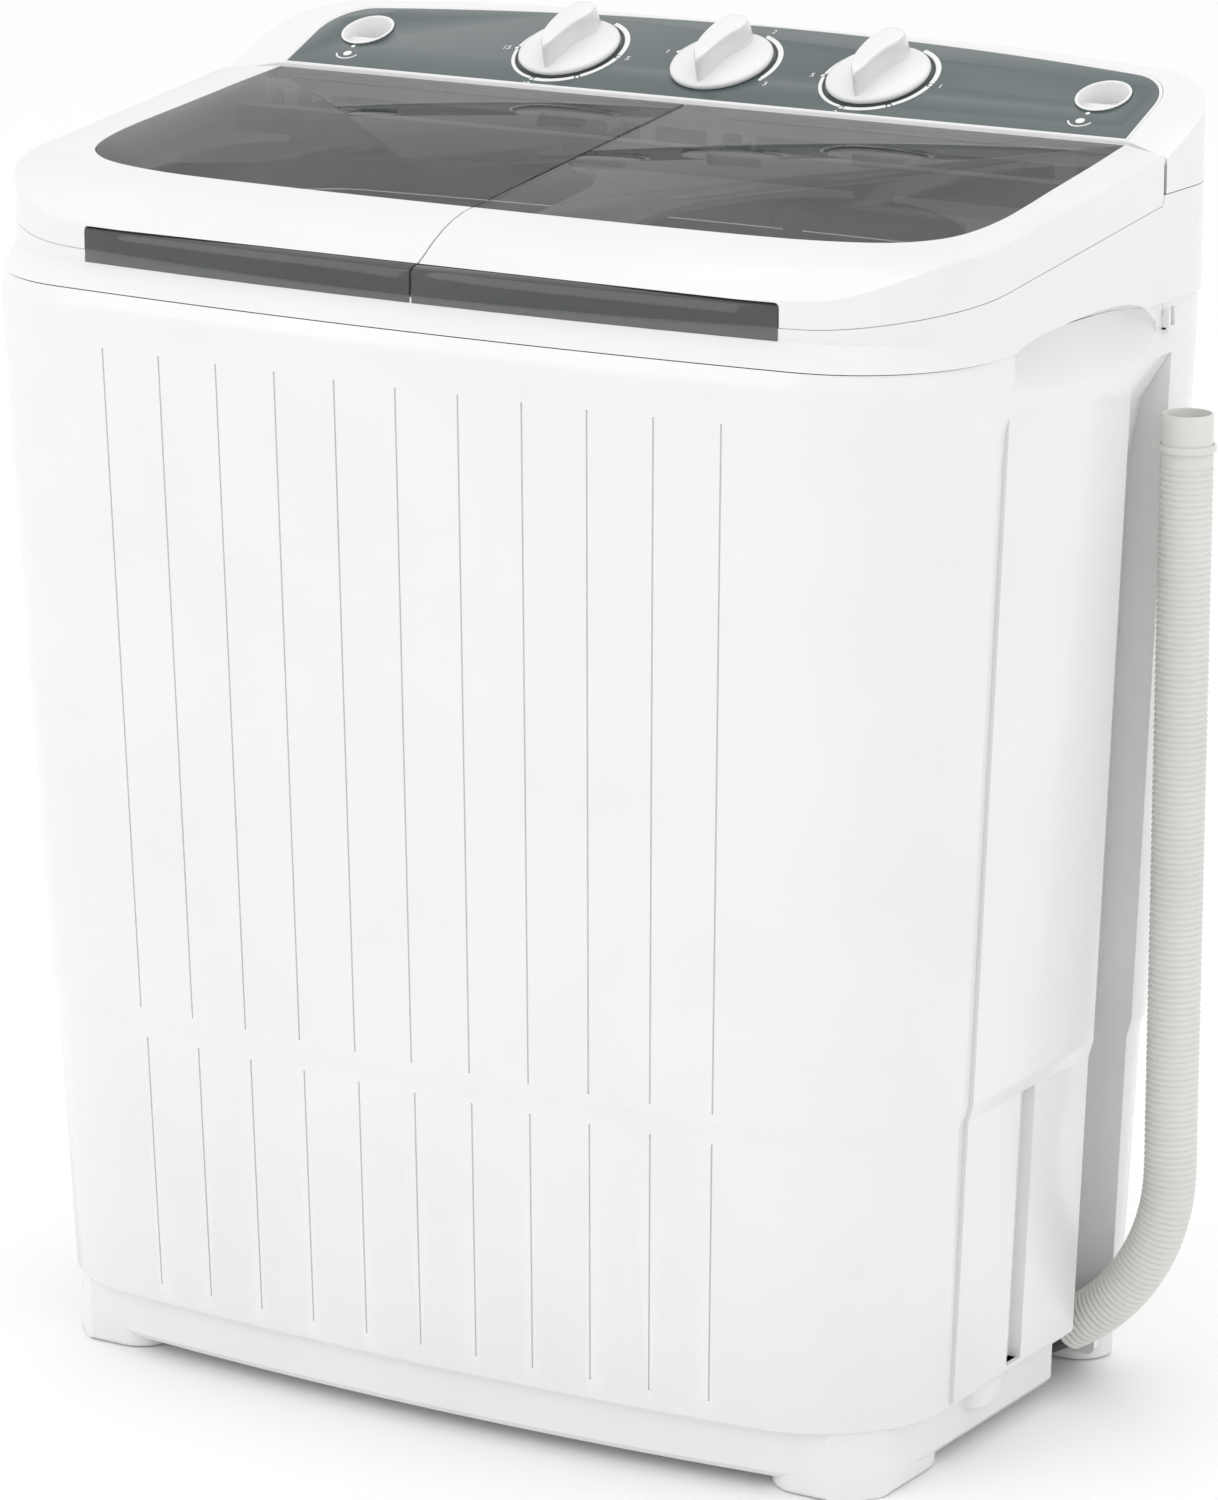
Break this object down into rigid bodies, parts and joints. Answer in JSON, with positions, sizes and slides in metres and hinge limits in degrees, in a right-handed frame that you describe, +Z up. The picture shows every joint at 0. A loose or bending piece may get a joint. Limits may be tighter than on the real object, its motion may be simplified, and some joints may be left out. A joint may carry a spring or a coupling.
{
  "type": "twin tub washer",
  "caption": "Portable washing machine with a wash tub and a spin basket side by side, see-through lids, a knob panel and a drain hose.",
  "frame": {"origin": "on the floor, under the middle of the machine's outline without its drain hose", "axes": "+X to the right seen from the front (spin side and drain hose), +Y to the rear (control panel), +Z up"},
  "size_m": [0.7907, 0.467, 0.9082],
  "materials": {
    "gloss_white": "moulded gloss white",
    "satin_white": "satin moulded white",
    "fascia_grey": "grey glossy control sheet",
    "tinted_clear": "smoky see-through plastic",
    "hose_plastic": "corrugated off-white hose",
    "black_rubber": "black rubber",
    "dark_plastic": "dark moulded plastic",
    "steel": "zinc plated steel",
    "cast_metal": "cast metal",
    "iron": "cast iron"
  },
  "bodies": {
    "machine": {"cabinet": "gloss_white", "base_frame": "gloss_white", "top_deck": "gloss_white", "panel_housing": "gloss_white", "wash_inlet_port": "gloss_white", "spin_inlet_port": "gloss_white", "hose_hook": "gloss_white", "panel_fascia": "fascia_grey", "wash_lid_pin": "steel", "spin_lid_pin": "steel", "wash_motor_bracket": "steel", "drain_valve_spring": "steel", "brake_pin": "steel", "spin_motor_plate": "steel", "motor_spring_1": "steel", "motor_spring_2": "steel", "motor_spring_3": "steel", "wash_timer_body": "dark_plastic", "drain_selector_switch": "dark_plastic", "spin_timer_body": "dark_plastic", "drain_valve_body": "dark_plastic", "drain_pipe": "dark_plastic", "lid_switch": "dark_plastic", "cord_gland": "dark_plastic", "hose_outlet": "dark_plastic", "wash_tub": "satin_white", "filter_frame": "satin_white", "spin_casing": "satin_white", "rear_cover": "satin_white", "wash_bearing": "cast_metal", "wash_motor": "cast_metal", "spin_motor": "cast_metal", "capacitor": "cast_metal", "drive_belt": "black_rubber", "spin_seal": "black_rubber", "drain_hose": "hose_plastic", "hose_cuff": "hose_plastic", "hose_clip": "hose_plastic"},
    "wash_lid": {"wash_lid_frame": "gloss_white", "wash_lid_window": "tinted_clear", "wash_lid_grip": "tinted_clear"},
    "spin_lid": {"spin_lid_frame": "gloss_white", "spin_lid_window": "tinted_clear", "spin_lid_grip": "tinted_clear"},
    "wash_timer": {"wash_timer_knob": "gloss_white"},
    "drain_selector": {"drain_selector_knob": "gloss_white"},
    "spin_timer": {"spin_timer_knob": "gloss_white"},
    "pulsator_drive": {"pulsator": "satin_white", "pulsator_shaft": "steel", "large_pulley": "dark_plastic"},
    "motor_drive": {"motor_pulley": "dark_plastic"},
    "basket": {"spin_basket": "satin_white", "spin_shaft": "steel", "brake_drum": "iron", "spin_coupling": "cast_metal", "spin_safety_disc": "satin_white"},
    "brake": {"brake_lever": "steel"},
    "filter": {"lint_filter": "satin_white"},
    "plug": {"drain_plug": "black_rubber"}
  },
  "joints": [
    {"name": "wash_lid_hinge", "type": "hinge", "parent": "machine", "child": "wash_lid", "pos_m": [-0.189, 0.1235, 0.8513], "axis": [-1, 0, 0], "range_deg": [0, 90]},
    {"name": "spin_lid_hinge", "type": "hinge", "parent": "machine", "child": "spin_lid", "pos_m": [0.189, 0.1235, 0.8513], "axis": [-1, 0, 0], "range_deg": [0, 90]},
    {"name": "wash_timer_turn", "type": "hinge", "parent": "machine", "child": "wash_timer", "pos_m": [-0.124, 0.1775, 0.87861], "axis": [0, 0.3907, -0.9205], "range_deg": [0, 300]},
    {"name": "drain_selector_turn", "type": "hinge", "parent": "machine", "child": "drain_selector", "pos_m": [0, 0.1775, 0.87861], "axis": [0, 0.3907, -0.9205], "range_deg": [-60, 60]},
    {"name": "spin_timer_turn", "type": "hinge", "parent": "machine", "child": "spin_timer", "pos_m": [0.124, 0.1775, 0.87861], "axis": [0, 0.3907, -0.9205], "range_deg": [0, 300]},
    {"name": "pulsator_spin", "type": "hinge", "parent": "machine", "child": "pulsator_drive", "pos_m": [-0.175, -0.0285, 0.32], "axis": [0, 0, 1], "continuous": true},
    {"name": "motor_pulley_spin", "type": "hinge", "parent": "machine", "child": "motor_drive", "pos_m": [-0.057, 0.0315, 0.208], "axis": [0, 0, 1], "continuous": true},
    {"name": "basket_spin", "type": "hinge", "parent": "machine", "child": "basket", "pos_m": [0.178, -0.0385, 0.33], "axis": [0, 0, 1], "continuous": true},
    {"name": "brake_lever_swing", "type": "hinge", "parent": "machine", "child": "brake", "pos_m": [0.258, -0.0135, 0.244], "axis": [0, 0, 1], "range_deg": [0, 4.2]},
    {"name": "lint_filter_lift", "type": "slide", "parent": "machine", "child": "filter", "axis": [0, 0, 1], "range_m": [0, 0.12]},
    {"name": "drain_plug_pull", "type": "slide", "parent": "machine", "child": "plug", "axis": [0, 0, -1], "range_m": [0, 0.01], "stiffness_N_per_m": 300, "springref_m": -0.004, "deforming": ["drain_valve_spring"]}
  ],
  "couplings": [
    {"joint": "motor_pulley_spin", "follows": "pulsator_spin", "ratio": 4},
    {"joint": "brake_lever_swing", "follows": "spin_lid_hinge", "ratio": 0.044444}
  ]
}
